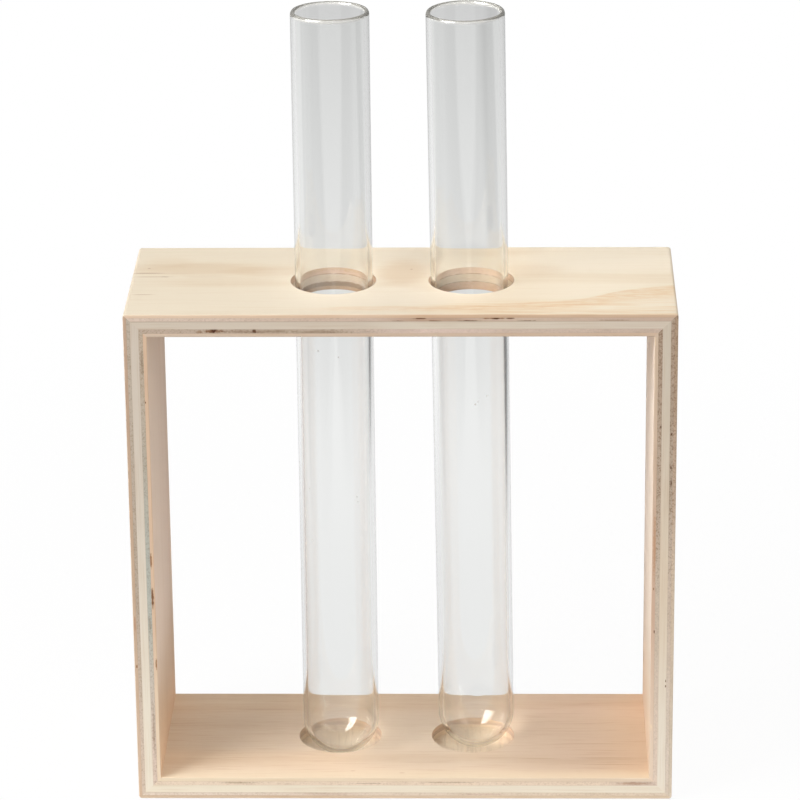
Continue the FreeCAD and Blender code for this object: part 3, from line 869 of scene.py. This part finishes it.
def table_brightness(graph, x, y):
    """How bright the studio table is: bright under the object, greyer behind it, dim in front but for a lit
    strip, and dark in a zone at the right."""
    field = graph.zone((x, 0.035, 0.06), (x, 0.135, 0.115), (y, 0.34, 0.50))
    behind = graph.multiply(graph.follow(y, TABLE_BEHIND), graph.line(field, FIELD_GAIN, 1.0))
    from_slant = graph.math("ADD", x, graph.line(y, 0.24, 0.02))
    left = graph.zone((from_slant, 0.004, -0.004), (y, 0.10, 0.30))
    behind = graph.multiply(behind, graph.line(left, LEFT_GAIN, 1.0))
    base = graph.blend(graph.rise(y, -0.02, 0.02), graph.follow(y, TABLE_AHEAD), behind)

    off_middle = graph.math("ABSOLUTE", graph.subtract(x, LIT_MIDDLE))
    off_strip = graph.subtract(off_middle, graph.follow(y, LIT_HALF_WIDTH))
    lit = graph.zone((off_strip, 0.02, -0.02), (y, -0.06, -0.12))
    base = graph.blend(lit, base, graph.follow(y, LIT_PAPER))

    across = graph.zone((x, 0.125, 0.20), (x, 0.37, 0.34))
    back = graph.zone((y, -0.05, 0.10), (y, 0.33, 0.28))
    return graph.blend(graph.multiply(across, back), base, DARK_ZONE)


# The world's brightness: to the camera, to the glass and to everything else, which also has a warm colour.
SKY_WHITE = 1.0
SKY_WALL = 0.60
SKY_ROOM = 0.50
ROOM_COLOUR = (1.0, 0.99, 0.98, 1.0)


def make_world():
    """White to the camera, a soft even room to the wood, and a grey wall to the glass."""
    world = bpy.data.worlds.new("soft_room")
    bpy.context.scene.world = world
    graph = Graph(world)
    room = graph.add("Background")
    graph.feed(room.inputs["Color"], ROOM_COLOUR)
    graph.feed(room.inputs["Strength"], SKY_ROOM)
    white = graph.glow("Background", SKY_WHITE)
    wall = graph.glow("Background", SKY_WALL)
    graph.show(graph.seen_by(camera=white, glass=wall, rest=room.outputs[0]), "OutputWorld")


# Soft panels that face a point of the object: name, azimuth and elevation in degrees, distance, width,
# height, brightness, and roll in degrees. Azimuth 0 is in front, and it grows to the right. White paper that
# fills the whole sky would have brightness 1. The first four light the wood, and the glass shows only the
# last two.
PANELS_AIM = Vector((0, 0, 0.07))
WOOD_PANELS = (
    ("ceiling_panel", -20, 84, 1.1, 1.0, 1.0, 0.14, 0.0),
    ("side_panel", -57, 40, 0.95, 0.50, 0.70, 5.3, 0.0),
    ("fill_panel", 65, 15, 1.0, 0.8, 0.6, 1.5, 0.0),
    ("low_left_panel", -65, 12, 1.0, 0.6, 0.4, 1.2, 0.0),
)
GLASS_PANELS = (
    ("window_glint", -57, 40, 0.90, 0.60, 0.90, 16.0, 20.0),
    ("bulb_glint", -24, 20, 1.0, 0.05, 0.05, 40.0, 0.0),
)


def add_panel(name, azimuth, elevation, distance, width, height, brightness, roll):
    """A panel that is as bright as its brightness says, whatever its size."""
    data = bpy.data.lights.new(name, "AREA")
    data.shape = "RECTANGLE"
    data.size = width
    data.size_y = height
    data.energy = brightness * math.pi * width * height
    lamp = add_object(name, data)
    a = math.radians(azimuth)
    e = math.radians(elevation)
    toward = Vector((math.sin(a) * math.cos(e), -math.cos(a) * math.cos(e), math.sin(e)))
    lamp.location = PANELS_AIM + toward * distance
    turn = toward.to_track_quat("Z", "Y").to_matrix() @ Matrix.Rotation(math.radians(roll), 3, "Z")
    lamp.rotation_euler = turn.to_euler()
    return lamp


def make_lamps():
    """The panels for the wood aren't seen in the glass, and those for the glass don't light dull surfaces."""
    for panel in WOOD_PANELS:
        lamp = add_panel(*panel)
        lamp.visible_glossy = False
        lamp.visible_transmission = False
    for panel in GLASS_PANELS:
        lamp = add_panel(*panel)
        lamp.visible_diffuse = False


def make_camera():
    """The camera from its fitted place, with the plain turns of yaw, pitch and roll."""
    data = bpy.data.cameras.new("camera")
    data.lens = CAMERA_LENS_MM
    data.sensor_width = SENSOR_WIDTH_MM
    data.clip_end = CAMERA_REACH
    camera = add_object("camera", data)
    yaw, pitch, roll = (math.radians(a) for a in (CAMERA_YAW, CAMERA_PITCH, CAMERA_ROLL))
    forward = Vector((math.sin(yaw) * math.cos(pitch), math.cos(yaw) * math.cos(pitch), -math.sin(pitch)))
    level = Vector((math.cos(yaw), -math.sin(yaw), 0.0))
    above = level.cross(forward)
    right = level * math.cos(roll) + above * math.sin(roll)
    up = above * math.cos(roll) - level * math.sin(roll)
    turn = Matrix((right, up, -forward)).transposed().to_4x4()
    camera.matrix_world = Matrix.Translation(Vector(CAMERA_PLACE_MM) * MM) @ turn
    bpy.context.scene.camera = camera


bpy.context.scene.view_settings.view_transform = "Standard"
make_camera()
make_world()
make_floor()
make_lamps()
finish_boards()
clear = glass()
for side in ("left", "right"):
    make_tube(side, clear)
